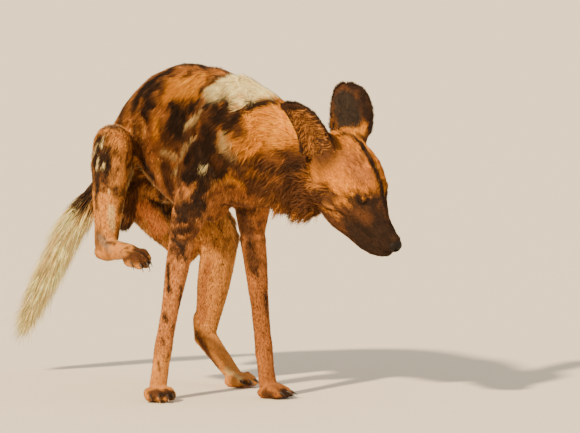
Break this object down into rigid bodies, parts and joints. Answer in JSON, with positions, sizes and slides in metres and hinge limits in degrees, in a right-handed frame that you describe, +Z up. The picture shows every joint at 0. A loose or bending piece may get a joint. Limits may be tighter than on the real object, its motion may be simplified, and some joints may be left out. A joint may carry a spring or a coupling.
{
  "type": "african wild dog model",
  "caption": "Life-size still model of an African wild dog with an arched back, hung head, round ears, a brush tail and the right hind leg lifted.",
  "frame": {"origin": "on the ground, under the middle of the bounding box of the whole animal", "axes": "+X the way the chest faces, +Y the animal's left, +Z up"},
  "size_m": [0.9939, 0.4307, 0.6684],
  "materials": {
    "coat": "short fur, patched in tan, dark brown and white",
    "ear": "very short dark fur with a fringed rim",
    "tail_hair": "long coarse hair, pale with a dark band",
    "nose": "damp pebbled skin",
    "eye": "wet gloss"
  },
  "bodies": {
    "root": {"torso": "coat", "head": "coat", "nose": "nose", "neck": "coat", "tail": "tail_hair", "eye_right": "eye", "ear_right": "ear", "arm_right": "coat", "forearm_right": "coat", "forepaw_right": "coat", "thigh_right": "coat", "shin_right": "coat", "hindfoot_right": "coat", "hindpaw_right": "coat", "eye_left": "eye", "ear_left": "ear", "arm_left": "coat", "forearm_left": "coat", "forepaw_left": "coat", "thigh_left": "coat", "shin_left": "coat", "hindfoot_left": "coat", "hindpaw_left": "coat"}
  },
  "joints": []
}
